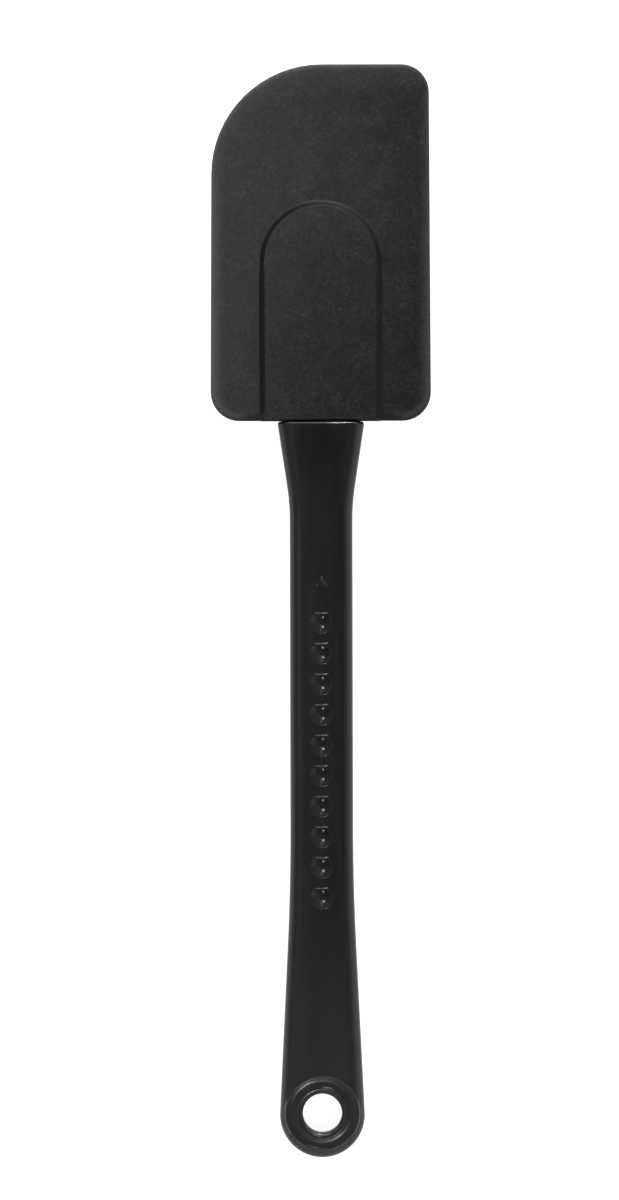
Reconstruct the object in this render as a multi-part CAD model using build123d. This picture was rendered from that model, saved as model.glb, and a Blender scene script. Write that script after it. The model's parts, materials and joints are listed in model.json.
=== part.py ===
from build123d import *
import os
from math import acos, asin, atan2, cos, degrees, hypot, sin, sqrt

# A silicone spatula, lying on its back. X runs across it, Y runs up to the blade's tip and Z is up.
# The origin is under the middle of its length. All sizes are in millimetres.

# Whole spatula
overall_length = 273.2

# Blade, seen from the front
blade_length = 89.2
blade_tip_width = 54.3
blade_foot_width = 55.1
swept_corner_radius = 27.6
square_corner_radius = 7.0
foot_corner_radius = 7.2

# Blade, seen from the side: a thick middle that thins out to a soft rim
core_foot_thickness = 4.2
core_tip_thickness = 3.2
rim_thickness = 1.4
rim_edge_bevel = 0.4
side_bevel_width = 5.0
tip_bevel_width = 8.8
foot_bevel_width = 3.0

# Raised pocket on the blade
pocket_width = 30.6
pocket_length = 55.1
pocket_thickness = 7.4
pocket_edge_radius = 1.6
pocket_mouth_radius = 0.9
pocket_end_wall = 5.4

# Tongue of the handle, inside the pocket
tongue_root_width = 19.6
tongue_end_width = 18.4
tongue_root_thickness = 3.8
tongue_end_thickness = 3.2
tongue_edge_bevel = 0.5
fit_clearance = 0.15
seat_gap = 0.1

# Handle, seen from the front
neck_width = 21.8
neck_length = 20.5
neck_blend_radius = 57.0
shaft_width = 15.7
flare_length = 67.9
flare_blend_radius = 600.0
end_radius = 10.6

# Handle, seen from the side and in section: level along the shaft, and rising at the neck
shoulder_height = 9.0
shaft_height = 7.8
neck_rise_length = 27.0
crown_radius = 60.0
front_edge_radius = 3.2
back_edge_radius = 1.8
shoulder_edge_bevel = 0.5

# Hanging eye: a bore with a softened lip, in a level disc that has a shallow ring groove. The disc is
# nearly flush with the front towards the blade, and stands clear where the handle's edge is rounded away
eye_offset = 0.5
hang_hole_radius = 4.9
eye_lip_radius = 6.3
eye_disc_radius = 9.3
eye_disc_rise = 0.12
eye_groove_depth = 0.35
eye_lip_depth = 1.0
hole_back_bevel = 0.8

# Grip beads: domes cut off straight on the side that faces the blade. They fill the shaft between
# the plain stretch under the blade and the plain stretch above the hanging eye
bead_pitch = 7.64
plain_length_below_blade = 50.1
plain_length_above_eye = 50.0
bead_radius = 3.47
bead_height = 1.0
bead_ledge_offset = 2.4

# How far every cutting tool runs past what it cuts, and how near two places are the same place
overrun = 2.0
same_place = 0.01

# Places that follow from the sizes
tip_y = overall_length / 2
end_y = -overall_length / 2
foot_y = tip_y - blade_length
shoulder_y = foot_y - seat_gap
middle_z = shoulder_height / 2
pocket_arch_y = foot_y + pocket_length - pocket_width / 2
tongue_end_y = foot_y + pocket_length - pocket_end_wall - fit_clearance
neck_foot_y = shoulder_y - neck_length
flare_y = end_y + flare_length
end_centre_y = end_y + end_radius
eye_y = end_centre_y + eye_offset
first_bead_y = shoulder_y - plain_length_below_blade
bead_count = 1 + int((first_bead_y - eye_y - plain_length_above_eye) / bead_pitch)
neck_rise = shoulder_height - shaft_height
neck_rise_y = shoulder_y - neck_rise_length
neck_rise_radius = (neck_rise_length**2 + neck_rise**2) / (2 * neck_rise)


def crown_drop(x):
    """How far the crowned front falls away at a distance from the centre line."""
    return crown_radius - sqrt(crown_radius**2 - x**2)


def edges_away_from(face, y):
    """The edges of a face, without those that lie in the cross plane at y."""
    return face.edges().filter_by(lambda edge: abs(edge.center().Y - y) > same_place)


def blade_outline(side_inset, tip_inset, foot_inset):
    """The blade's outline, drawn in from its three kinds of edge."""
    top = tip_y - tip_inset
    bottom = foot_y + foot_inset
    top_x = blade_tip_width / 2 - side_inset
    bottom_x = blade_foot_width / 2 - side_inset
    corners = [(-bottom_x, bottom), (bottom_x, bottom), (top_x, top), (-top_x, top)]
    outer_radii = [foot_corner_radius, foot_corner_radius, square_corner_radius, swept_corner_radius]
    radii = [radius - side_inset for radius in outer_radii]
    return make_face(FilletPolyline(*corners, radius=radii, close=True))


def blade_sheet():
    """The scraping sheet: rim, rim edge and core outlines on each side, joined by straight bevels."""
    rim = blade_outline(0, 0, 0)
    rim_edge = blade_outline(rim_edge_bevel, rim_edge_bevel, rim_edge_bevel)
    core = blade_outline(side_bevel_width, tip_bevel_width, foot_bevel_width)
    core_rise = (core_foot_thickness - core_tip_thickness) / 2
    lean = degrees(atan2(core_rise, blade_length - tip_bevel_width))
    foot_axis = Axis((0, foot_y, 0), (1, 0, 0))
    rim_half = rim_thickness / 2
    sections = [
        Pos(0, 0, middle_z - core_foot_thickness / 2) * core.rotate(foot_axis, lean),
        Pos(0, 0, middle_z - rim_half) * rim_edge,
        Pos(0, 0, middle_z - rim_half + rim_edge_bevel) * rim,
        Pos(0, 0, middle_z + rim_half - rim_edge_bevel) * rim,
        Pos(0, 0, middle_z + rim_half) * rim_edge,
        Pos(0, 0, middle_z + core_foot_thickness / 2) * core.rotate(foot_axis, -lean),
    ]
    return loft(sections, ruled=True)


def pocket_block():
    """The raised, arch-ended block that holds the pocket."""
    half = pocket_width / 2
    legs = Polyline((-half, pocket_arch_y), (-half, foot_y), (half, foot_y), (half, pocket_arch_y))
    arch = ThreePointArc((-half, pocket_arch_y), (0, pocket_arch_y + half), (half, pocket_arch_y))
    block = Pos(0, 0, middle_z) * extrude(make_face([legs, arch]), pocket_thickness / 2, both=True)
    levels = block.faces().sort_by(Axis.Z)
    long_edges = edges_away_from(levels[0], foot_y) + edges_away_from(levels[-1], foot_y)
    block = fillet(long_edges, pocket_edge_radius)
    mouth = block.faces().sort_by(Axis.Y)[0]
    return fillet(mouth.edges(), pocket_mouth_radius)


def tongue_solid(margin, root_y):
    """The tongue, drafted in width and thickness, or with a margin the hollow that takes it."""
    root_x = tongue_root_width / 2 + margin
    end_x = tongue_end_width / 2 + margin
    end_y_here = tongue_end_y + margin
    round_y = end_y_here - end_x
    draft = (root_x - end_x) / (round_y - foot_y)
    root_x_here = root_x + draft * (foot_y - root_y)
    sides = Polyline((-end_x, round_y), (-root_x_here, root_y), (root_x_here, root_y), (end_x, round_y))
    nose = ThreePointArc((-end_x, round_y), (0, end_y_here), (end_x, round_y))
    plan = extrude(make_face([sides, nose]), pocket_thickness, both=True)

    root_z = tongue_root_thickness / 2 + margin
    end_z = tongue_end_thickness / 2 + margin
    thinning = (root_z - end_z) / (end_y_here - foot_y)
    root_z_here = root_z + thinning * (foot_y - root_y)
    end_z_here = end_z - thinning * overrun
    wedge_points = [
        (root_y, -root_z_here),
        (end_y_here + overrun, -end_z_here),
        (end_y_here + overrun, end_z_here),
        (root_y, root_z_here),
    ]
    wedge = extrude(Plane.YZ * make_face(Polyline(*wedge_points, close=True)), neck_width, both=True)
    tongue = plan & wedge
    levels = tongue.faces().sort_by(Axis.Z)
    long_edges = edges_away_from(levels[0], root_y) + edges_away_from(levels[-1], root_y)
    return Pos(0, 0, middle_z) * chamfer(long_edges, tongue_edge_bevel)


def handle_outline():
    """The handle from the front: neck, shaft and flare, and the round end that the flare runs into."""
    rise = flare_y - end_centre_y
    reach = hypot(shaft_width / 2, rise)
    touch_angle = atan2(rise, shaft_width / 2) - acos(end_radius / reach)
    touch_x = end_radius * cos(touch_angle)
    touch_y = end_centre_y + end_radius * sin(touch_angle)
    corners = [
        (neck_width / 2, shoulder_y),
        (shaft_width / 2, neck_foot_y),
        (shaft_width / 2, flare_y),
        (touch_x, touch_y),
    ]
    right = FilletPolyline(*corners, radius=[neck_blend_radius, flare_blend_radius])
    left = mirror(right, Plane.YZ)
    end = ThreePointArc((touch_x, touch_y), (0, end_y), (-touch_x, touch_y))
    shoulder = Line((-neck_width / 2, shoulder_y), (neck_width / 2, shoulder_y))
    return make_face([right, end, left, shoulder])


def handle_front_tools():
    """Everything under the handle's front, an arc across: straight along the shaft, then up the neck."""
    side = neck_width / 2 + overrun
    side_z = shaft_height - crown_drop(side)
    box = Polyline((-side, side_z), (-side, -shoulder_height), (side, -shoulder_height), (side, side_z))
    crown = ThreePointArc((-side, side_z), (0, shaft_height), (side, side_z))
    section = Pos(0, neck_rise_y, 0) * (Plane.XZ * make_face([box, crown]))
    shaft = extrude(section, neck_rise_y - end_y + overrun)
    axis = Axis((0, neck_rise_y, shaft_height + neck_rise_radius), (1, 0, 0))
    turn = degrees(asin((neck_rise_length + overrun) / neck_rise_radius))
    return [shaft, revolve(section, axis, turn)]


def front_rounded(length):
    """A length of the handle, with the long edges of its front rounded."""
    ends = (shoulder_y, neck_rise_y)
    front_edges = length.edges().filter_by(lambda edge: edge.center().Z > middle_z)
    sides = front_edges.filter_by(lambda edge: all(abs(edge.center().Y - y) > same_place for y in ends))
    return fillet(sides, front_edge_radius)


def handle_body():
    """Neck, shaft and flared end, with soft long edges and a crisper shoulder."""
    plan = extrude(handle_outline(), shoulder_height + overrun)
    shaft, neck = [front_rounded(plan & tool) for tool in handle_front_tools()]
    body = shaft + neck
    back = body.faces().sort_by(Axis.Z)[0]
    body = fillet(edges_away_from(back, shoulder_y), back_edge_radius)
    shoulder = body.faces().sort_by(Axis.Y)[-1]
    return chamfer(shoulder.edges(), shoulder_edge_bevel)


def eye_disc():
    """The level disc round the hanging hole, with its lip and ring groove, turned about the hole's axis."""
    disc_z = shaft_height + eye_disc_rise
    lip_foot_z = disc_z - eye_lip_depth
    groove_radius = (eye_lip_radius + eye_disc_radius) / 2
    groove_z = disc_z - eye_groove_depth
    groove = ThreePointArc((eye_lip_radius, disc_z), (groove_radius, groove_z), (eye_disc_radius, disc_z))
    rest = Polyline(
        (eye_disc_radius, disc_z),
        (eye_disc_radius, middle_z),
        (hang_hole_radius, middle_z),
        (hang_hole_radius, lip_foot_z),
        (eye_lip_radius, disc_z),
    )
    profile = Plane.XZ * make_face([groove, rest])
    return Pos(0, eye_y, 0) * revolve(profile, Axis.Z)


def eye_hollow():
    """What makes way for the disc: a round hollow in front, the bore and a bevel behind."""
    outline = Polyline(
        (0, -overrun),
        (hang_hole_radius + hole_back_bevel + overrun, -overrun),
        (hang_hole_radius, hole_back_bevel),
        (hang_hole_radius, middle_z),
        (eye_disc_radius, middle_z),
        (eye_disc_radius, shoulder_height),
        (0, shoulder_height),
        close=True,
    )
    return Pos(0, eye_y, 0) * revolve(Plane.XZ * make_face(outline), Axis.Z)


def grip_bead(y):
    """One grip bead, a cap of a ball with a straight ledge towards the blade."""
    ball_radius = (bead_radius**2 + bead_height**2) / (2 * bead_height)
    ball_width = 2 * ball_radius
    ball = Rot(0, 90, 0) * Sphere(ball_radius)
    keep = Pos(0, bead_ledge_offset - ball_radius, ball_radius) * Box(ball_width, ball_width, ball_width)
    return Pos(0, y, shaft_height + bead_height - ball_radius) * (ball & keep)


def silicone_blade():
    """The blade with its pocket, hollow for the tongue and open at the foot."""
    return blade_sheet() + pocket_block() - tongue_solid(fit_clearance, foot_y - overrun)


def handle():
    """The handle with its hanging eye, grip beads and tongue."""
    solid = handle_body() - eye_hollow() + eye_disc()
    for i in range(bead_count):
        solid += grip_bead(first_bead_y - i * bead_pitch)
    return solid + tongue_solid(0, shoulder_y - overrun)


parts = {"silicone_blade": silicone_blade(), "handle": handle()}

os.makedirs("parts", exist_ok=True)
for name, solid in parts.items():
    solid.label = name
    export_step(solid, f"parts/{name}.step")
    print(name, "solids", len(solid.solids()), "volume", round(solid.volume), "mm3")
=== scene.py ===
import json
from math import acos, atan2, copysign, cos, hypot, pi, radians, sin, sqrt, tan

import bmesh
import bpy
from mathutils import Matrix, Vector
from mathutils.geometry import delaunay_2d_cdt, intersect_point_line


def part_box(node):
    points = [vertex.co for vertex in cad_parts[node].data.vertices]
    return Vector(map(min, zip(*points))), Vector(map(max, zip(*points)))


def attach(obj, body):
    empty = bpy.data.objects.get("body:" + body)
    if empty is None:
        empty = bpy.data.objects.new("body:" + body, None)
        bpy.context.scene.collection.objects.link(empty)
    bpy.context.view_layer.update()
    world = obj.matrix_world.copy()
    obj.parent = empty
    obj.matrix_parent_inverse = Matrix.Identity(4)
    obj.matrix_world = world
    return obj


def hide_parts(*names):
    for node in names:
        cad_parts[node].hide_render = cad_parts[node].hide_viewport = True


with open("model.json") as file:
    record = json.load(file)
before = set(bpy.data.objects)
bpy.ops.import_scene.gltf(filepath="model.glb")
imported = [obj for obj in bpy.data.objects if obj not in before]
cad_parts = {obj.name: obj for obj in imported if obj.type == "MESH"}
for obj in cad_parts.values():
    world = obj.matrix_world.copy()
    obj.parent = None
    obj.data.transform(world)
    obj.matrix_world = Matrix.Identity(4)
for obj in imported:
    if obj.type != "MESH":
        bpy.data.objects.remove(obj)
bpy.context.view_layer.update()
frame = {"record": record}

# A silicone spatula that lies on its back. X runs across it, Y runs up to the blade's tip and Z is up.
# Its sizes are in millimetres, and become metres when a mesh, a copy or the camera is placed
mm = 0.001

# Places taken from the frame
blade_low, blade_high = [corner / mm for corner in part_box("silicone_blade")]
handle_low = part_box("handle")[0] / mm
mounts = {mount["name"]: mount for mount in frame["record"]["mounts"]}
tip_y = blade_high.y
foot_y = blade_low.y
end_y = handle_low.y
middle_z = (blade_low.z + blade_high.z) / 2
eye_y = mounts["hang_hole"]["pos_m"][1] / mm
hang_hole_radius = mounts["hang_hole"]["dims"]["r_mm"]

# Blade, seen from the front
blade_tip_width = 54.3
blade_foot_width = 55.1
swept_corner_radius = 27.6
square_corner_radius = 7.0
foot_corner_radius = 7.2

# Blade, seen from the side: a thick middle that thins out to a soft rim
core_foot_thickness = 4.2
core_tip_thickness = 3.2
rim_thickness = 1.4
rim_edge_radius = 0.5
rim_edge_turn = radians(56)
side_bevel_width = 5.0
tip_bevel_width = 8.8
foot_bevel_width = 3.0
sheet_foot_step = 0.05

# Raised pocket on the blade: soft straight walls, and a steeper wall with a flare round the arch
pocket_width = 30.6
pocket_length = 55.1
pocket_thickness = blade_high.z - blade_low.z
pocket_crown = 0.45
pocket_edge_radius = 1.2
pocket_arch_edge_radius = 0.35
pocket_edge_change_length = 6.0
pocket_wall_spread = 0.25
pocket_wall_angle = radians(41)
pocket_foot_flare_radius = 0.05
pocket_arch_wall_angle = radians(51)
pocket_flare_radius = 0.8
pocket_arch_inset = 0.3
pocket_mouth_radius = 0.9
pocket_end_wall = 5.4

# Tongue of the handle, inside the pocket
tongue_root_width = 19.6
tongue_end_width = 18.4
tongue_root_thickness = 3.8
tongue_end_thickness = 3.2
tongue_edge_radius = 0.5
fit_clearance = 0.15
seat_gap = 0.1

# Handle, seen from the front
neck_width = 21.8
neck_length = 20.5
neck_blend_radius = 57.0
shaft_width = 15.7
flare_length = 67.9
flare_blend_radius = 600.0
end_radius = 10.6

# Handle, seen from the side and in section: level along the shaft, and rising at the neck
shoulder_height = 8.985
shaft_height = 7.8
neck_rise_length = 27.0
crown_radius = 60.0
front_edge_radius = 3.2
back_edge_radius = 1.8
shoulder_edge_radius = 0.7

# Disc round the hanging eye, with a softened lip and a shallow ring groove
eye_lip_radius = 6.3
eye_disc_radius = 9.3
eye_disc_rise = 0.12
eye_groove_depth = 0.22
eye_lip_depth = 1.0
eye_edge_radius = 0.4
eye_foot_step = 0.15
hole_back_bevel = 0.8

# Grip beads, and the pointer between them and the blade
bead_count = 10
bead_pitch = 7.64
bead_height = 0.75
bead_ball_radius = 5.9
bead_dome_radius = 2.75
bead_ledge_offset = 2.25
bead_ledge_width = 0.2
bead_root_depth = 0.5
plain_length_below_blade = 50.1
pointer_tip_y = 8.0
pointer_width = 4.0
pointer_length = 2.4
pointer_ridge_width = 1.1
pointer_ridge_height = 0.15
# How far the painted highlight on the pointer's right arm reaches on each side of the arm
pointer_highlight_width = 0.5
inlay_sink = 0.001

# Steps of the meshes
turn_steps = 16
edge_steps = 8
front_edge_steps = 12
front_strip_steps = 5
ring_steps = 144
crown_steps = 16
along_spacing = 0.8
grid_columns = 24
merge_distance = 0.0005
crease_angle = radians(38)
least_mitre_share = 0.5
overrun = 2.0

# Places that follow from the sizes
shoulder_y = foot_y - seat_gap
pocket_arch_y = foot_y + pocket_length - pocket_width / 2
tongue_end_y = foot_y + pocket_length - pocket_end_wall - fit_clearance
neck_foot_y = shoulder_y - neck_length
flare_y = end_y + flare_length
first_bead_y = shoulder_y - plain_length_below_blade
shoulder_edge_y = shoulder_y - shoulder_edge_radius
end_centre_y = end_y + end_radius
neck_rise = shoulder_height - shaft_height
neck_rise_y = shoulder_y - neck_rise_length
neck_rise_radius = (neck_rise_length**2 + neck_rise**2) / (2 * neck_rise)


class Shape:
    """Points in millimetres and faces between them, which become one closed mesh."""

    def __init__(self):
        self.points = []
        self.faces = []

    def row(self, points):
        """Adds points and returns their numbers."""
        first = len(self.points)
        self.points += [Vector(point) for point in points]
        return list(range(first, len(self.points)))

    def strip(self, row, other, closed=False):
        """Joins two rows that have the same number of points."""
        for i in range(len(row) if closed else len(row) - 1):
            j = (i + 1) % len(row)
            self.faces.append((row[i], row[j], other[j], other[i]))

    def strips(self, rows, closed=False):
        """Adds rows of points and joins each to the next; returns the rows' numbers."""
        numbered = [self.row(points) for points in rows]
        for row, other in zip(numbered, numbered[1:]):
            self.strip(row, other, closed)
        return numbered

    def filled(self, outline, hole, loose):
        """Fills the area inside an outline, and outside a hole, with triangles that use the loose points."""
        numbers = outline + hole + loose
        places = [self.points[number].to_2d() for number in numbers]
        edges = []
        for first, count in ((0, len(outline)), (len(outline), len(hole))):
            edges += [(first + i, first + (i + 1) % count) for i in range(count)]
        made = delaunay_2d_cdt(places, edges, [], 1, merge_distance / 10)
        origins = [numbers[sources[0]] for sources in made[3]]
        hole_set = set(hole)
        for triangle in made[2]:
            face = tuple(origins[corner] for corner in triangle)
            if not hole_set.issuperset(face):
                self.faces.append(face)

    def piece(self, name):
        """The object, with doubled points merged and its faces turned outwards."""
        mesh = bpy.data.meshes.new(name)
        mesh.from_pydata([point * mm for point in self.points], [], self.faces)
        net = bmesh.new()
        net.from_mesh(mesh)
        bmesh.ops.remove_doubles(net, verts=net.verts, dist=merge_distance * mm)
        bmesh.ops.recalc_face_normals(net, faces=net.faces)
        net.to_mesh(mesh)
        net.free()
        piece = bpy.data.objects.new(name, mesh)
        bpy.context.scene.collection.objects.link(piece)
        return piece


class Wire:
    """A node's output that takes part in Python sums: each operator adds one Math node."""

    def __init__(self, graph, socket):
        self.graph = graph
        self.socket = socket

    def sum(self, operation, *values):
        return self.graph.node("ShaderNodeMath", {"operation": operation}, dict(enumerate(values)))

    def __add__(self, other):
        return self.sum("ADD", self, other)

    def __sub__(self, other):
        return self.sum("SUBTRACT", self, other)

    def __rsub__(self, other):
        return self.sum("SUBTRACT", other, self)

    def __mul__(self, other):
        return self.sum("MULTIPLY", self, other)

    def __truediv__(self, other):
        return self.sum("DIVIDE", self, other)

    def __pow__(self, other):
        return self.sum("POWER", self, other)

    __radd__ = __add__
    __rmul__ = __mul__

    def absolute(self):
        return self.sum("ABSOLUTE", self)

    def larger(self, other):
        return self.sum("MAXIMUM", self, other)

    def clamped(self):
        return self.sum("MINIMUM", self.larger(0), 1)

    def rising(self, start, gain):
        """Nought up to a start, and from there rising to one."""
        return ((self - start) * gain).clamped()


class Graph:
    """The node tree of a finish, of the surroundings or of a modifier."""

    def __init__(self, tree):
        self.tree = tree
        tree.nodes.clear()

    def node(self, kind, settings=None, sockets=None, output=0):
        """Adds a node, sets it up, fills or links its sockets and returns one of its outputs."""
        node = self.tree.nodes.new(kind)
        for name, value in (settings or {}).items():
            setattr(node, name, value)
        for name, value in (sockets or {}).items():
            if isinstance(value, Wire):
                self.tree.links.new(value.socket, node.inputs[name])
            else:
                node.inputs[name].default_value = value
        return Wire(self, node.outputs[output]) if node.outputs else node

    def mix(self, factor, first, second):
        """A colour between two others."""
        return self.node("ShaderNodeMix", {"data_type": "RGBA"}, {0: factor, 6: first, 7: second}, 2)

    def bump(self, relief, strength, depth):
        """A normal that a relief tilts; its depth is in millimetres."""
        sockets = {"Strength": strength, "Distance": depth * mm, "Height": relief}
        return self.node("ShaderNodeBump", sockets=sockets)


def made_plain(piece):
    """Turns what a piece's modifiers make into its own mesh."""
    shown = piece.evaluated_get(bpy.context.evaluated_depsgraph_get())
    mesh = bpy.data.meshes.new_from_object(shown)
    piece.modifiers.clear()
    piece.data = mesh


def joined(piece, other, operation):
    """Adds another closed shape to a piece, or cuts it away, and removes the other."""
    change = piece.modifiers.new(operation.lower(), "BOOLEAN")
    change.operation = operation
    change.solver = "EXACT"
    change.object = other
    made_plain(piece)
    bpy.data.objects.remove(other)


def dressed(piece, finish, body, node):
    """Gives a piece its finish, hangs it on its body's empty and hides the CAD node that it stands for."""
    piece.data.materials.clear()
    piece.data.materials.append(finish)
    piece.data.shade_smooth()
    piece.data.set_sharp_from_angle(angle=crease_angle)
    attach(piece, body)
    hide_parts(node)


def quarter(radius, steps):
    """Steps round a quarter turn, as pairs: how far in from the edge and how far down from the top."""
    turns = [pi / 2 * i / steps for i in range(steps + 1)]
    return [(radius * (1 - cos(a)), radius * (1 - sin(a))) for a in turns]


def rounded_corner(before, corner, after, radius):
    """The arc that rounds one corner of an outline."""
    back = (before - corner).normalized()
    ahead = (after - corner).normalized()
    half_angle = back.angle(ahead) / 2
    inward = (back + ahead).normalized()
    along = (ahead - back).normalized()
    centre = corner + inward * radius / sin(half_angle)
    half_turn = pi / 2 - half_angle
    turns = [half_turn * (2 * i / turn_steps - 1) for i in range(turn_steps + 1)]
    return [centre - inward * radius * cos(a) + along * radius * sin(a) for a in turns]


def between(start, end, steps):
    """Evenly spaced points strictly between two others."""
    return [start.lerp(end, i / steps) for i in range(1, steps)]


def blade_ring(side, tip, foot):
    """The blade's outline, drawn in from its three kinds of edge."""
    top_x = blade_tip_width / 2 - side
    bottom_x = blade_foot_width / 2 - side
    top = tip_y - tip
    bottom = foot_y + sheet_foot_step + foot
    corners = [Vector(xy) for xy in ((-bottom_x, bottom), (bottom_x, bottom), (top_x, top), (-top_x, top))]
    outer_radii = [foot_corner_radius, foot_corner_radius, square_corner_radius, swept_corner_radius]
    turns = []
    for i, radius in enumerate(outer_radii):
        turns.append(rounded_corner(corners[i - 1], corners[i], corners[(i + 1) % 4], radius - side))
    ring = []
    for i, turn in enumerate(turns):
        ring += turn + between(turn[-1], turns[(i + 1) % 4][0], turn_steps)
    return ring


def core_half(y):
    """Half the thickness of the blade's core at a place along it."""
    toward_tip = (y - foot_y) / (tip_y - foot_y)
    return (core_foot_thickness + (core_tip_thickness - core_foot_thickness) * toward_tip) / 2


def blade_sheet():
    """The scraping sheet: a rounded rim, and bevels that swell softly up to the core on each side."""
    rim_half = rim_thickness / 2
    widths = (side_bevel_width, tip_bevel_width, foot_bevel_width)
    rings = []
    for i in range(edge_steps + 1):
        turned = rim_edge_turn * i / edge_steps
        inset = rim_edge_radius * (1 - cos(turned))
        height = rim_half - rim_edge_radius * (1 - sin(turned))
        rings.append((blade_ring(inset, inset, inset), height, 0))
    for i in range(1, edge_steps + 1):
        share = i / edge_steps
        insets = [inset + share * (width - inset) for width in widths]
        rings.append((blade_ring(*insets), height, 1 - (1 - share) ** 2))
    rows = []
    for ring, height, swell in rings:
        row = []
        for x, y in ring:
            row.append((x, y, height + swell * (core_half(y) - height)))
        rows.append(row)
    lower = [[(x, y, middle_z - z) for x, y, z in row] for row in reversed(rows)]
    upper = [[(x, y, middle_z + z) for x, y, z in row] for row in rows]
    shape = Shape()
    numbered = shape.strips(lower + upper, closed=True)
    shape.faces.append(tuple(numbered[0]))
    shape.faces.append(tuple(numbered[-1]))
    return shape.piece("silicone_blade_skin")


def block_profile(half_width, half_thickness, radius):
    """Half the front of a flat block's section, from its middle to its side."""
    flat = half_width - radius
    places = [(flat * i / edge_steps, half_thickness) for i in range(edge_steps)]
    for inset, drop in reversed(quarter(radius, edge_steps)):
        places.append((half_width - inset, half_thickness - drop))
    return places


def pocket_profile(half_width, half_thickness, edge_radius, flare_radius, lean):
    """Half the front of the pocket's section: crown, rounded edge, leaning wall and the flare at its foot."""
    level = core_half(foot_y + pocket_length)
    height = half_thickness - pocket_crown - level
    flare_fall = flare_radius * (1 - cos(lean))
    edge_radius = min(edge_radius, (height - flare_fall) / (1 - cos(lean)))
    edge_run = edge_radius * sin(lean)
    edge_fall = edge_radius * (1 - cos(lean))
    flat = half_width - edge_run - (height - edge_fall - flare_fall) / tan(lean)
    places = []
    for i in range(edge_steps):
        x = flat * i / edge_steps
        places.append((x, half_thickness - pocket_crown * (x / flat) ** 2))
    for i in range(edge_steps + 1):
        turned = lean * i / edge_steps
        fall = edge_radius * (1 - cos(turned))
        places.append((flat + edge_radius * sin(turned), half_thickness - pocket_crown - fall))
    for i in range(edge_steps + 1):
        turned = lean * (1 - i / edge_steps)
        run = flare_radius * (sin(lean) - sin(turned))
        places.append((half_width + run, level + flare_radius * (1 - cos(turned))))
    return places


def arched_block(stations, thinning):
    """A closed block with one round end. A station is a place along Y and half the front of its section; the
    round end starts at the last one, and thins out ahead of it."""
    profiles = [front + [(x, -z) for x, z in reversed(front)] for y, front in stations]
    arch_y = stations[-1][0]
    arch_steps = 3 * turn_steps
    rows = []
    for i, (reach, z) in enumerate(profiles[-1]):
        left = [(-profile[i][0], station[0], profile[i][1]) for station, profile in zip(stations, profiles)]
        arch = []
        for k in range(1, arch_steps):
            angle = pi * (1 - k / arch_steps)
            ahead = reach * sin(angle)
            arch.append((reach * cos(angle), arch_y + ahead, z - copysign(thinning * ahead, z)))
        right = [(-x, y, z) for x, y, z in reversed(left)]
        rows.append([(x, y, middle_z + z) for x, y, z in left + arch + right])
    shape = Shape()
    numbered = shape.strips(rows)
    near_end = [row[0] for row in numbered[1:]] + [row[-1] for row in reversed(numbered[:-1])]
    shape.faces.append(tuple(near_end))
    return shape.piece("block")


def pocket_block():
    """The raised pocket: soft straight walls, a steeper arch, and a rounded mouth at the blade's foot."""
    half_width = pocket_width / 2 + pocket_wall_spread
    half_thickness = pocket_thickness / 2
    straight_wall = (pocket_edge_radius, pocket_foot_flare_radius, pocket_wall_angle)
    arch_wall = (pocket_arch_edge_radius, pocket_flare_radius, pocket_arch_wall_angle)
    stations = []
    for inset, ahead in reversed(quarter(pocket_mouth_radius, edge_steps)):
        front = pocket_profile(half_width - inset, half_thickness - inset, *straight_wall)
        stations.append((foot_y + ahead, front))
    change_y = pocket_arch_y - pocket_edge_change_length
    stations.append((change_y, pocket_profile(half_width, half_thickness, *straight_wall)))
    arch_reach = pocket_width / 2 - pocket_arch_inset
    stations.append((pocket_arch_y, pocket_profile(arch_reach, half_thickness, *arch_wall)))
    return arched_block(stations, 0)


def tongue_block(margin, root_y):
    """The tongue, drafted in width and thickness, or with a margin the hollow that takes it."""
    root_x = tongue_root_width / 2 + margin
    end_x = tongue_end_width / 2 + margin
    nose_y = tongue_end_y + margin
    round_y = nose_y - end_x
    root_z = tongue_root_thickness / 2 + margin
    end_z = tongue_end_thickness / 2 + margin
    draft = (root_x - end_x) / (round_y - foot_y)
    thinning = (root_z - end_z) / (nose_y - foot_y)
    stations = []
    for y in (root_y, foot_y, round_y):
        ahead = y - foot_y
        half_width = root_x - draft * ahead
        stations.append((y, block_profile(half_width, root_z - thinning * ahead, tongue_edge_radius)))
    return arched_block(stations, thinning)


def silicone_blade():
    """The whole blade: sheet and pocket in one, hollow for the tongue."""
    blade = blade_sheet()
    joined(blade, pocket_block(), "UNION")
    joined(blade, tongue_block(fit_clearance, foot_y - overrun), "DIFFERENCE")
    return blade


def arc_fall(radius, reach):
    """How far an arc has fallen, or risen, at a distance from its middle."""
    return reach * reach / (radius + (radius * radius - reach * reach) ** 0.5)


def front_z(x, y):
    """Height of the handle's front, crowned across, level along the shaft and rising at the neck."""
    return shaft_height + arc_fall(neck_rise_radius, max(0, y - neck_rise_y)) - arc_fall(crown_radius, x)


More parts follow.
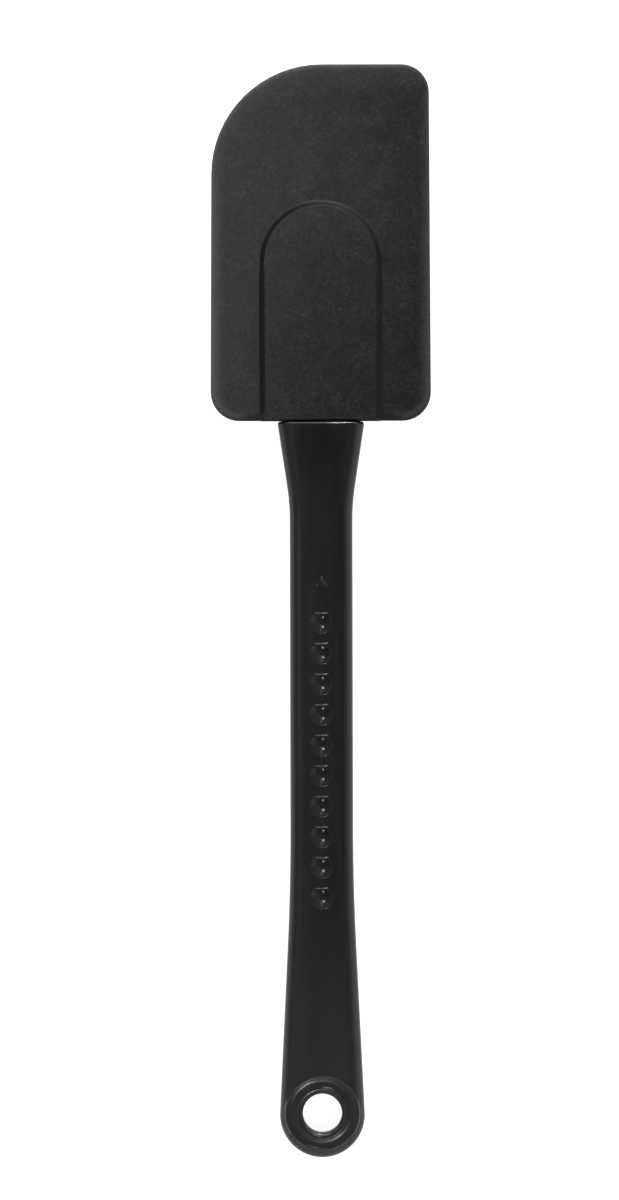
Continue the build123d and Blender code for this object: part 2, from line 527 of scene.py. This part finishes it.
def handle_path():
    """The handle's outline from the right of the shoulder, round the end, to the left of the shoulder."""
    rise = flare_y - end_centre_y
    reach = hypot(shaft_width / 2, rise)
    touch_angle = atan2(rise, shaft_width / 2) - acos(end_radius / reach)
    touch = Vector((end_radius * cos(touch_angle), end_centre_y + end_radius * sin(touch_angle)))
    corner = Vector((neck_width / 2, shoulder_y))
    neck_foot = Vector((shaft_width / 2, neck_foot_y))
    flare = Vector((shaft_width / 2, flare_y))
    neck_turn = rounded_corner(corner, neck_foot, flare, neck_blend_radius)
    flare_turn = rounded_corner(neck_foot, flare, touch, flare_blend_radius)
    top = corner.lerp(neck_turn[0], shoulder_edge_radius / (shoulder_y - neck_turn[0].y))

    side = [top]
    for turn in (neck_turn, flare_turn, [touch]):
        steps = max(1, round((side[-1] - turn[0]).length / along_spacing))
        side += between(side[-1], turn[0], steps) + turn
    sweep = touch_angle + pi / 2
    end_steps = round(end_radius * sweep / along_spacing * 2)
    for i in range(1, end_steps + 1):
        angle = touch_angle - sweep * i / end_steps
        side.append(Vector((end_radius * cos(angle), end_centre_y + end_radius * sin(angle))))
    return side + [Vector((-point.x, point.y)) for point in reversed(side[:-1])]


def inward_directions(path):
    """For each point of the handle's outline, the way in; it stays in the shoulder's plane there."""
    ways = []
    for i in range(len(path)):
        run = path[min(i + 1, len(path) - 1)] - path[max(i - 1, 0)]
        ways.append(Vector((run.y, -run.x)).normalized())
    for i in (0, -1):
        ways[i] = Vector((1 / ways[i].x, 0))
    return ways


def side_rows(path, steps):
    """Rows of points just inside the outline, each with its step's distance in and down."""
    ways = inward_directions(path)
    return [[point + way * inset for point, way in zip(path, ways)] for inset, drop in steps]


def rounded_front_z(place, path):
    """Height of the handle's front at a place, with the rounding along its edge."""
    distance = end_radius
    for start, end in zip(path, path[1:]):
        nearest, share = intersect_point_line(place, start, end)
        nearest = start.lerp(end, min(1, max(0, share)))
        distance = min(distance, (place - nearest).length)
    short = max(0, front_edge_radius - distance)
    return front_z(*place) - arc_fall(front_edge_radius, short)


def eye_rows(path):
    """Rings round the hanging eye: back bevel, bore, lip, ring groove, and the disc's edge and foot."""
    disc_z = shaft_height + eye_disc_rise
    lip_foot_z = disc_z - eye_lip_depth
    profile = [(hang_hole_radius + hole_back_bevel, 0), (hang_hole_radius, hole_back_bevel)]
    for i in range(1, edge_steps):
        profile.append((hang_hole_radius, hole_back_bevel + (lip_foot_z - hole_back_bevel) * i / edge_steps))
    for i in range(turn_steps + 1):
        turned = pi / 2 * i / turn_steps
        lip_radius = eye_lip_radius - (eye_lip_radius - hang_hole_radius) * cos(turned)
        profile.append((lip_radius, lip_foot_z + eye_lip_depth * sin(turned)))
    half_chord = (eye_disc_radius - eye_edge_radius - eye_lip_radius) / 2
    groove_arc_radius = (half_chord**2 + eye_groove_depth**2) / (2 * eye_groove_depth)
    groove_z = disc_z - eye_groove_depth
    for i in range(1, crown_steps + 1):
        reach = half_chord * (2 * i / crown_steps - 1)
        profile.append((eye_lip_radius + half_chord + reach, groove_z + arc_fall(groove_arc_radius, reach)))
    turns = [2 * pi * i / ring_steps for i in range(ring_steps)]
    rows = [[(r * cos(a), eye_y + r * sin(a), z) for a in turns] for r, z in profile]
    foot_radius = eye_disc_radius + eye_foot_step
    foot = []
    for a in turns:
        place = Vector((foot_radius * cos(a), eye_y + foot_radius * sin(a)))
        foot.append((place.x, place.y, rounded_front_z(place, path)))
    for inset, drop in reversed(quarter(eye_edge_radius, edge_steps)[:-1]):
        row = []
        for a, (x, y, foot_z) in zip(turns, foot):
            share = min(1, (disc_z - foot_z) / eye_edge_radius)
            r = eye_disc_radius - inset * share
            row.append((r * cos(a), eye_y + r * sin(a), disc_z - drop * share))
        rows.append(row)
    rows.append(foot)
    return rows


def drawn_in(loop, inset):
    """The loop of points round the shoulder's section, drawn in."""
    moved = []
    for i, point in enumerate(loop):
        before = (point - loop[i - 1]).normalized()
        after = (loop[(i + 1) % len(loop)] - point).normalized()
        run = (before + after).normalized()
        reach = inset / max(least_mitre_share, run.dot(after))
        moved.append(point + Vector((-run.z, 0, run.x)) * reach)
    return moved


def handle_front(shape, path, eye_foot):
    """The front: strips over the edge, then triangles. Returns the side rows and the shoulder's row."""
    steps = quarter(front_edge_radius, front_edge_steps)
    flats = side_rows(path, steps)
    rows = []
    for flat, (inset, drop) in zip(flats, steps):
        rows.append([(x, y, front_z(x, y) - drop) for x, y in flat])
    strips = shape.strips(rows[: front_strip_steps + 1])
    keep_out = eye_disc_radius + 2 * eye_foot_step
    right_ends = [row[0] for row in rows[front_strip_steps + 1 :]]
    left_ends = [row[-1] for row in reversed(rows[front_strip_steps + 1 :])]
    loose = []
    for row in rows[front_strip_steps + 1 :]:
        loose += [point for point in row[1:-1] if hypot(point[0], point[1] - eye_y) > keep_out]
    inner = flats[-1]
    shoulder_half = inner[0].x
    columns = [2 * i / grid_columns - 1 for i in range(1, grid_columns)]
    middle = []
    for column in columns:
        x = -shoulder_half * column
        middle.append((x, shoulder_edge_y, front_z(x, shoulder_edge_y)))
    for place in inner[1 : len(inner) // 2]:
        for column in columns:
            x = place.x * column
            if place.x > 0 and hypot(x, place.y - eye_y) > keep_out + along_spacing / 4:
                loose.append((x, place.y, front_z(x, place.y)))
    shoulder = shape.row(right_ends + middle + left_ends)
    shape.filled(strips[-1] + shoulder[::-1], eye_foot, shape.row(loose))
    return strips, shoulder


def handle_back(shape, path, hole):
    """The flat back with its rounded edge. Returns the side rows."""
    steps = quarter(back_edge_radius, edge_steps)
    rows = []
    for flat, (inset, drop) in zip(side_rows(path, steps), steps):
        rows.append([(x, y, drop) for x, y in flat])
    strips = shape.strips(rows)
    shape.filled(strips[-1], hole, [])
    return strips


def handle_body():
    """The moulded handle without its tongue: front, back, side wall, hanging eye and shoulder."""
    shape = Shape()
    path = handle_path()
    eye = shape.strips(eye_rows(path), closed=True)
    front, shoulder = handle_front(shape, path, eye[-1])
    back = handle_back(shape, path, eye[0])
    shape.strip(front[0], back[0])

    section = [row[0] for row in front] + shoulder + [row[-1] for row in reversed(front)]
    section += [row[-1] for row in back] + [row[0] for row in reversed(back)]
    loop = [shape.points[number] for number in section]
    for inset, short in quarter(shoulder_edge_radius, edge_steps)[1:]:
        row = shape.row([(p.x, shoulder_y - short, p.z) for p in drawn_in(loop, inset)])
        shape.strip(section, row, closed=True)
        section = row
    shape.faces.append(tuple(section))
    return shape.piece("handle_moulding")


def handle_moulding():
    """The whole handle moulding, tongue included."""
    body = handle_body()
    joined(body, tongue_block(0, shoulder_y - overrun), "UNION")
    return body


def bead_foot():
    """Height of a bead where its dome ends, and how far it runs out softly from there."""
    edge_rise = bead_height - arc_fall(bead_ball_radius, bead_dome_radius)
    slope = bead_dome_radius / sqrt(bead_ball_radius**2 - bead_dome_radius**2)
    return edge_rise, 2 * edge_rise / slope


def bead_rise(x, y):
    """Height of a bead over the handle's front: a dome that runs out softly, cut to a ledge at its head."""
    reach = hypot(x, y)
    edge_rise, run_out = bead_foot()
    if reach <= bead_dome_radius:
        rise = bead_height - arc_fall(bead_ball_radius, reach)
    else:
        rise = edge_rise * max(0, 1 - (reach - bead_dome_radius) / run_out) ** 2
    past_ledge = min(1, max(0, (y - bead_ledge_offset) / bead_ledge_width))
    return rise * (1 - past_ledge**2 * (3 - 2 * past_ledge))


def bead_pattern():
    """One bead on a flat base, round its own middle, to be laid along the handle."""
    foot_radius = bead_dome_radius + bead_foot()[1]
    ledge_foot = bead_ledge_offset + bead_ledge_width
    ledge_share = bead_ledge_offset / ledge_foot
    shares = [ledge_share * i / crown_steps for i in range(1, crown_steps + 1)]
    shares += [ledge_share + (1 - ledge_share) * i / crown_steps for i in range(1, crown_steps + 1)]
    bead_turns = ring_steps // 2
    rows = []
    for share in shares:
        row = []
        for i in range(bead_turns):
            angle = 2 * pi * i / bead_turns
            limit = min(foot_radius, ledge_foot / max(sin(angle), ledge_foot / foot_radius))
            x = share * limit * cos(angle)
            y = share * limit * sin(angle)
            row.append((x, y, bead_rise(x, y)))
        rows.append(row)
    rows.append([(x, y, -bead_root_depth) for x, y, z in rows[-1]])
    shape = Shape()
    numbered = shape.strips(rows, closed=True)
    top = shape.row([(0, 0, bead_height)])[0]
    for i in range(bead_turns):
        shape.faces.append((numbered[0][i], numbered[0][(i + 1) % bead_turns], top))
    shape.faces.append(tuple(numbered[-1]))
    return shape.piece("bead_pattern")


def pointer_pattern():
    """A low chevron ridge on a flat base that points at the blade, round its own tip."""
    half = pointer_width / 2
    run = Vector((half, -pointer_length)).normalized()
    out = Vector((-run.y, run.x))
    mitre = Vector((0, 1 / out.y))
    right = Vector((half, -pointer_length))
    right_steps = [right * i / turn_steps for i in range(1, turn_steps + 1)]
    rows = []
    for i in range(-edge_steps, edge_steps + 1):
        across = i / edge_steps
        aside = across * pointer_ridge_width / 2
        rise = pointer_ridge_height * (1 - across**2) ** 2
        arm = []
        for k, place in enumerate(right_steps):
            taper = 1 - ((k + 1) / turn_steps) ** 2
            moved = place + out * aside
            arm.append((moved.x, moved.y, rise * taper))
        head = [(mitre.x * aside, mitre.y * aside, rise)]
        rows.append([(-x, y, z) for x, y, z in reversed(arm)] + head + arm)
    base = [[(x, y, -bead_root_depth) for x, y, z in row] for row in rows]
    shape = Shape()
    upper = shape.strips(rows)
    lower = shape.strips(base)
    for pair in ((upper[0], lower[0]), (upper[-1], lower[-1])):
        shape.strip(*pair)
    for end in (0, -1):
        shape.strip([row[end] for row in upper], [row[end] for row in lower])
    return shape.piece("pointer_pattern")


def inlay_tree():
    """Lays copies of a pattern in a row down the level part of the handle's front, bent to its crown."""
    tree = bpy.data.node_groups.new("laid_on_handle_front", "GeometryNodeTree")
    inputs = {
        "Pattern": "NodeSocketObject",
        "Finish": "NodeSocketMaterial",
        "Count": "NodeSocketInt",
        "Pitch": "NodeSocketFloat",
        "First Place": "NodeSocketFloat",
        "Front Height": "NodeSocketFloat",
        "Crown Radius": "NodeSocketFloat",
    }
    for name, kind in inputs.items():
        tree.interface.new_socket(name=name, in_out="INPUT", socket_type=kind)
    tree.interface.new_socket(name="Mesh", in_out="OUTPUT", socket_type="NodeSocketGeometry")
    graph = Graph(tree)
    given = {name: graph.node("NodeGroupInput", output=i) for i, name in enumerate(inputs)}
    start = graph.node("ShaderNodeCombineXYZ", sockets={"Y": given["First Place"]})
    step = graph.node("ShaderNodeCombineXYZ", sockets={"Y": 0 - given["Pitch"]})
    line = {"Count": given["Count"], "Start Location": start, "Offset": step}
    places = graph.node("GeometryNodeMeshLine", {"mode": "OFFSET"}, line)
    pattern = graph.node("GeometryNodeObjectInfo", sockets={"Object": given["Pattern"]}, output="Geometry")
    copies = graph.node("GeometryNodeInstanceOnPoints", sockets={"Points": places, "Instance": pattern})
    real = graph.node("GeometryNodeRealizeInstances", sockets={"Geometry": copies})

    position = graph.node("GeometryNodeInputPosition")
    x = graph.node("ShaderNodeSeparateXYZ", sockets={"Vector": position}, output="X")
    rise = given["Front Height"] - arc_fall(given["Crown Radius"], x)
    lift = graph.node("ShaderNodeCombineXYZ", sockets={"Z": rise})
    bent = graph.node("GeometryNodeSetPosition", sockets={"Geometry": real, "Offset": lift})
    done = graph.node("GeometryNodeSetMaterial", sockets={"Geometry": bent, "Material": given["Finish"]})
    graph.node("NodeGroupOutput", sockets={"Mesh": done})
    return tree


def laid_on_front(name, tree, pattern, finish, count, pitch, first_y):
    """A piece made of copies of a pattern along the handle's front."""
    piece = bpy.data.objects.new(name, bpy.data.meshes.new(name))
    bpy.context.scene.collection.objects.link(piece)
    values = {
        "Pattern": pattern,
        "Finish": finish,
        "Count": count,
        "Pitch": pitch * mm,
        "First Place": first_y * mm,
        "Front Height": (shaft_height - inlay_sink) * mm,
        "Crown Radius": crown_radius * mm,
    }
    layout = piece.modifiers.new("layout", "NODES")
    layout.node_group = tree
    for socket in tree.interface.items_tree:
        if socket.in_out == "INPUT":
            layout[socket.identifier] = values[socket.name]
    made_plain(piece)
    bpy.data.objects.remove(pattern)
    return piece


def new_finish(name):
    """An empty material, its graph, and Object coordinates in millimetres."""
    finish = bpy.data.materials.new(name)
    finish.use_nodes = True
    graph = Graph(finish.node_tree)
    place = graph.node("ShaderNodeTexCoord", output="Object")
    grid = graph.node("ShaderNodeMapping", sockets={"Vector": place, "Scale": (1 / mm, 1 / mm, 1 / mm)})
    return finish, graph, grid


def noise(graph, grid, size, detail=2.0, stretch=1.0):
    """Soft noise whose lumps are about the given size in millimetres, and may be drawn out along Y."""
    scale = (1 / size, 1 / (size * stretch), 1 / size)
    spread = graph.node("ShaderNodeMapping", sockets={"Vector": grid, "Scale": scale})
    return graph.node("ShaderNodeTexNoise", sockets={"Vector": spread, "Scale": 1.0, "Detail": detail})


def shaded(graph, sockets):
    """Ends a finish with its surface shader."""
    surface = graph.node("ShaderNodeBsdfPrincipled", sockets=sockets)
    graph.node("ShaderNodeOutputMaterial", sockets={"Surface": surface})


# Silicone: the size of each pattern's lumps, in millimetres
mottle_size = 1.1
blotch_size = 5.0
curl_size = 1.6
cluster_size = 6.0
fleck_size = 0.5
pit_size = 0.7
grain_size = 0.25

# Silicone: real dust, with painted light that makes it paler towards the left and on the rim's slopes, and
# painted shade that makes it darker low down in the middle and on the steep walls. Lengths are in millimetres
rim_sheen_place = 18.0
rim_sheen_run = 3.0
tip_sheen_length = 14.0
rim_tilt_gain = 8
rim_tilt_power = 1.5
rim_steep_tilt = 0.15
rim_steep_gain = 4
foot_shade_length = 60.0
middle_shade_half_width = 13.0
middle_shade_level = 1.3
crevice_foot_length = 1.5
crevice_gain = 3
crevice_threshold = 0.4
curl_sharpness = 22
left_light_share = 0.48
mottle_dust_share = 0.45
blotch_dust_share = 0.15
rim_sheen_share = 0.75
left_rim_sheen_share = 0.35
curl_dust_share = 0.25
middle_shade_share = 0.12
foot_shade_share = 0.12
crevice_shade_share = 0.6
clean_share = 0.12

# Silicone: colours and gloss
silicone_clean = (0.003, 0.003, 0.003, 1)
# The pale silicone colour stands both for dust and for painted light; pulling back from it stands for painted
# shade
silicone_dust_and_light = (0.11, 0.11, 0.112, 1)
silicone_fleck = (0.13, 0.13, 0.13, 1)
dust_and_light_cover_share = 0.5
fleck_cover_share = 0.35
pit_cover_share = 0.6
silicone_gloss = 0.25
silicone_roughness = 0.42
mottle_roughness = 0.12
mottle_relief_share = 0.5
grain_relief_share = 0.35
pit_relief_share = 0.6
silicone_bump_strength = 0.35
silicone_bump_depth = 0.02


def dust_and_light_on_silicone(graph, grid, mottle):
    """How dusty the silicone is, with painted light on the left and on the rim's slopes and painted shade low
    in the middle and on steep walls, from nought to about two, and where its flecks gather.
    """
    x, y = [graph.node("ShaderNodeSeparateXYZ", sockets={"Vector": grid}, output=axis) for axis in "XY"]
    normal = graph.node("ShaderNodeTexCoord", output="Normal")
    tilt = 1 - graph.node("ShaderNodeSeparateXYZ", sockets={"Vector": normal}, output="Z").absolute()
    away = x.absolute()
    # Painted light: paler towards the left, as if lit more from that side
    leftward = (0.5 - x / blade_foot_width).clamped()
    # Painted sheen: the rim's slopes near the outline are paler, where light would catch them
    beside = (away - rim_sheen_place) / rim_sheen_run
    ahead = (y - tip_y + tip_sheen_length) / rim_sheen_run
    near_outline = beside.larger(ahead).clamped()
    slope = (tilt * rim_tilt_gain).clamped() ** rim_tilt_power
    rim = slope * (1 - tilt.rising(rim_steep_tilt, rim_steep_gain)) * near_outline
    # Painted shade: darker low down near the handle, most in the middle
    low = ((foot_y + foot_shade_length - y) / foot_shade_length).clamped()
    middle = low * (middle_shade_level - away / middle_shade_half_width).clamped()
    # Painted shade: darker on steep walls and in creases, more so above the foot
    inside = (1 - near_outline) * ((y - foot_y) / crevice_foot_length - 1).clamped()
    crevice = (tilt * crevice_gain * (1 + inside) - crevice_threshold).clamped()
    blotches = noise(graph, grid, blotch_size)
    curls = (1 - (noise(graph, grid, curl_size, detail=3.0) - 0.5).absolute() * curl_sharpness).clamped()
    clusters = noise(graph, grid, cluster_size, detail=1.0).rising(start=0.38, gain=3)
    # Real dust is the mottle, blotches and curled flecks; the left, rim, foot and crevice terms are painted
    # light and shade
    dust_and_light = leftward * left_light_share + mottle * mottle_dust_share + (blotches - 0.5) * blotch_dust_share
    dust_and_light = dust_and_light + rim * (rim_sheen_share + leftward * left_rim_sheen_share)
    dust_and_light = dust_and_light + curls * clusters * curl_dust_share
    dust_and_light = dust_and_light - middle * middle_shade_share - low * foot_shade_share
    return dust_and_light - crevice * crevice_shade_share - clean_share, clusters


def silicone_finish():
    """Matte black silicone: finely mottled, with dust and painted light and shade in its colour, clusters of
    pale dust flecks and a few dark pits.
    """
    finish, graph, grid = new_finish("blade_silicone")
    mottle = noise(graph, grid, mottle_size, detail=4.0)
    grain = noise(graph, grid, grain_size)
    dust_and_light, clusters = dust_and_light_on_silicone(graph, grid, mottle)
    flecks = noise(graph, grid, fleck_size).rising(start=0.62, gain=9) * clusters
    pits = noise(graph, grid, pit_size, detail=1.0).rising(start=0.7, gain=12)
    # Mixing towards the pale colour adds dust and painted light; painted shade pulls it back towards the
    # clean black
    colour = graph.mix(dust_and_light * dust_and_light_cover_share, silicone_clean, silicone_dust_and_light)
    colour = graph.mix(flecks * fleck_cover_share, colour, silicone_fleck)
    colour = graph.mix(pits * pit_cover_share, colour, silicone_clean)
    relief = mottle * mottle_relief_share + grain * grain_relief_share - pits * pit_relief_share
    bump = graph.bump(relief, silicone_bump_strength, silicone_bump_depth)
    roughness = silicone_roughness + mottle * mottle_roughness
    sockets = {"Base Color": colour, "Roughness": roughness, "Normal": bump}
    sockets["Specular IOR Level"] = silicone_gloss
    shaded(graph, sockets)
    return finish


# Plastic: the size of each pattern's lumps in millimetres, and how many times longer they are along Y
flow_size = 9.0
flow_stretch = 3.0
hairline_size = 0.12
hairline_stretch = 60.0
rub_size = 4.0
streak_size = 1.8
streak_stretch = 12.0
ripple_size = 2.5

# Plastic: paler towards the eye, and a painted highlight on the pointer's right arm. Lengths are in
# millimetres
eye_pale_reach = 56.0
eye_pale_run = 52.0
highlight_head_length = 0.3
highlight_tail_length = 1.2
highlight_tail_level = 1.7
plastic_dark = (0.0045, 0.0045, 0.005, 1)
plastic_light = (0.0095, 0.0095, 0.01, 1)
plastic_by_eye = (0.02, 0.02, 0.0205, 1)
# Colour of the painted highlight on the pointer's right arm
plastic_arm_highlight = (0.045, 0.045, 0.045, 1)
rub_colour_share = 0.3
streak_colour_share = 0.7
eye_colour_share = 0.65
arm_highlight_share = 0.7
plastic_roughness = 0.13
flow_roughness = 0.05
hairline_roughness = 0.15
eye_roughness = 0.06
flow_relief_share = 0.2
ripple_relief_share = 0.1
plastic_bump_strength = 0.1
plastic_bump_depth = 0.05


def plastic_finish():
    """Polished black moulding: nearly even, with flow streaks, hairline scratches and a painted highlight on
    the pointer's right arm.
    """
    finish, graph, grid = new_finish("handle_plastic")
    flow = noise(graph, grid, flow_size, stretch=flow_stretch)
    hairlines = noise(graph, grid, hairline_size, detail=1.0, stretch=hairline_stretch)
    hairlines = hairlines.rising(start=0.68, gain=6)
    rub = noise(graph, grid, rub_size, detail=3.0).rising(start=0.5, gain=3)
    streaks = noise(graph, grid, streak_size, detail=1.0, stretch=streak_stretch).rising(start=0.4, gain=3)
    ripple = noise(graph, grid, ripple_size, detail=1.0)
    x, y = [graph.node("ShaderNodeSeparateXYZ", sockets={"Vector": grid}, output=axis) for axis in "XY"]
    from_eye = (x**2 + (y - eye_y) ** 2) ** 0.5
    by_eye = ((eye_pale_reach - from_eye) / eye_pale_run).clamped()
    # Painted highlight: the pointer's right arm is paler, as if it catches the light
    off_arm = ((y - pointer_tip_y) * (pointer_width / 2) + x * pointer_length).absolute()
    arm_reach = pointer_highlight_width * hypot(pointer_width / 2, pointer_length)
    head = (x / highlight_head_length + 1).clamped()
    tail = (highlight_tail_level - x / highlight_tail_length).clamped()
    lit_arm = (1 - off_arm / arm_reach).clamped() * head * tail
    colour = graph.mix(rub * rub_colour_share + streaks * streak_colour_share, plastic_dark, plastic_light)
    colour = graph.mix(by_eye * eye_colour_share, colour, plastic_by_eye)
    colour = graph.mix(lit_arm * arm_highlight_share, colour, plastic_arm_highlight)
    roughness = plastic_roughness + flow * flow_roughness + hairlines * rub * hairline_roughness
    roughness = roughness + by_eye * eye_roughness
    relief = flow * flow_relief_share + ripple * ripple_relief_share
    bump = graph.bump(relief, plastic_bump_strength, plastic_bump_depth)
    shaded(graph, {"Base Color": colour, "Roughness": roughness, "Normal": bump})
    return finish


# Studio, in metres. A lamp's direction is a compass angle from +X towards +Y and a height above the
# horizon, in degrees. The rig is the dark stand overhead, in shares of a direction's X and Y
floor_size = 4.0
floor_colour = (0.6, 0.6, 0.6, 1)
floor_glow = 0.9
floor_roughness = 0.9
floor_reflected_share = 0.33
sky_top = 0.31
sky_side = 0.42
sky_right = 0.28
sky_near = 0.5
sky_left_high = 0.35
sky_near_high = 0.6
sky_high_power = 4
sky_low_power = 2.2
rig_place = -0.13
rig_half_width = 0.24
rig_half_depth = 0.075
rig_edge = 2.5
rig_shade = 0.9
lamps = {
    # compass, height, how far away, size, shape and glow
    "tip_softbox": (90, 30, 1.3, (1.2, 0.7), "RECTANGLE", 3.5),
    "left_softbox": (163, 44, 1.3, (0.7, 0.5), "RECTANGLE", 0.31),
    "low_softbox": (55, 17, 1.4, (1.2, 0.5), "RECTANGLE", 2.5),
    "lower_right_lamp": (291, 65, 1.3, (0.15, 0.13), "ELLIPSE", 30),
    "upper_lamp": (72, 65, 1.3, (0.11, 0.11), "ELLIPSE", 25),
    "near_strip": (268, 58, 1.3, (0.2, 0.8), "RECTANGLE", 0.9),
    "tip_spot": (83, 15, 1.2, (0.16, 0.1), "ELLIPSE", 90),
    "corner_spot": (137, 22, 1.2, (0.12, 0.12), "ELLIPSE", 35),
}


def soft_lamp(name, compass, height, away, size, shape, glow):
    """An area lamp that faces the spatula; its glow is how bright it looks."""
    lamp = bpy.data.lights.new(name, "AREA")
    lamp.shape = shape
    lamp.size, lamp.size_y = size
    area = size[0] * size[1] * (1 if shape == "RECTANGLE" else pi / 4)
    lamp.energy = glow * pi * area
    holder = bpy.data.objects.new(name, lamp)
    compass, height = radians(compass), radians(height)
    way = Vector((cos(compass) * cos(height), sin(compass) * cos(height), sin(height)))
    holder.location = way * away
    holder.rotation_euler = way.to_track_quat("Z", "Y").to_euler()
    bpy.context.scene.collection.objects.link(holder)


def surroundings():
    """A pale room, brighter low down, with the dark shape of the camera's stand overhead."""
    world = bpy.data.worlds.new("studio")
    world.use_nodes = True
    bpy.context.scene.world = world
    graph = Graph(world.node_tree)
    way = graph.node("ShaderNodeTexCoord", output="Generated")
    x, y, z = [graph.node("ShaderNodeSeparateXYZ", sockets={"Vector": way}, output=axis) for axis in "XYZ"]
    low = (1 - z.clamped()) ** sky_low_power
    high = z.clamped() ** sky_high_power
    level = sky_top + low * (sky_side + sky_right * x - sky_near * y)
    level = level - high * (x * sky_left_high + y * sky_near_high)
    aside = (x / rig_half_width) ** 2
    along = ((y - rig_place) / rig_half_depth) ** 2
    rig = ((1 - aside - along) * rig_edge).clamped()
    level = level * (1 - rig_shade * rig)
    grey = graph.node("ShaderNodeCombineColor", sockets={"Red": level, "Green": level, "Blue": level})
    sky = graph.node("ShaderNodeBackground", sockets={"Color": grey, "Strength": 1.0})
    graph.node("ShaderNodeOutputWorld", sockets={"Surface": sky})


def floor():
    """A table top that looks white to the camera and greyer in reflections, and keeps the shadow."""
    half = floor_size / 2
    mesh = bpy.data.meshes.new("floor")
    corners = [(-half, -half, 0), (half, -half, 0), (half, half, 0), (-half, half, 0)]
    mesh.from_pydata(corners, [], [(0, 1, 2, 3)])
    finish = bpy.data.materials.new("floor_white")
    finish.use_nodes = True
    graph = Graph(finish.node_tree)
    rays = [f"Is {kind} Ray" for kind in ("Camera", "Glossy", "Transmission")]
    camera_ray, glossy_ray, clear_ray = [graph.node("ShaderNodeLightPath", output=ray) for ray in rays]
    seen = (camera_ray + glossy_ray * floor_reflected_share + clear_ray).clamped()
    glow = graph.node("ShaderNodeCombineColor", sockets={"Red": seen, "Green": seen, "Blue": seen})
    sockets = {"Base Color": floor_colour, "Roughness": floor_roughness, "Emission Color": glow}
    sockets["Emission Strength"] = floor_glow
    shaded(graph, sockets)
    mesh.materials.append(finish)
    stage = bpy.data.objects.new("floor", mesh)
    bpy.context.scene.collection.objects.link(stage)


# View: a long lens straight above, at the scale and place of the photograph
photo_width = 619
photo_height = 1200
pixel_size = 0.25
tip_row = 64.4
axis_column = 321.3
lens_length = 300.0
sensor_length = 36.0
camera_roll = radians(-0.13)


def camera():
    """The camera, far above the spatula, so that its sides hardly show."""
    lens = bpy.data.cameras.new("camera")
    lens.lens = lens_length
    lens.sensor_width = sensor_length
    view = bpy.data.objects.new("camera", lens)
    reach = photo_height * pixel_size * lens_length / sensor_length
    across = (photo_width / 2 - axis_column) * pixel_size
    along = tip_y - (photo_height / 2 - tip_row) * pixel_size
    view.location = Vector((across, along, middle_z + reach)) * mm
    view.rotation_euler = (0, 0, camera_roll)
    bpy.context.scene.collection.objects.link(view)
    bpy.context.scene.camera = view


silicone = silicone_finish()
plastic = plastic_finish()
front_tree = inlay_tree()
beads = laid_on_front("grip_beads", front_tree, bead_pattern(), plastic, bead_count, bead_pitch, first_bead_y)
pointer = laid_on_front("blade_pointer", front_tree, pointer_pattern(), plastic, 1, bead_pitch, pointer_tip_y)
for piece in (handle_moulding(), beads, pointer):
    dressed(piece, plastic, "handle", "handle")
dressed(silicone_blade(), silicone, "blade", "silicone_blade")

surroundings()
floor()
for name, lamp in lamps.items():
    soft_lamp(name, *lamp)
camera()
bpy.context.scene.view_settings.view_transform = "Standard"
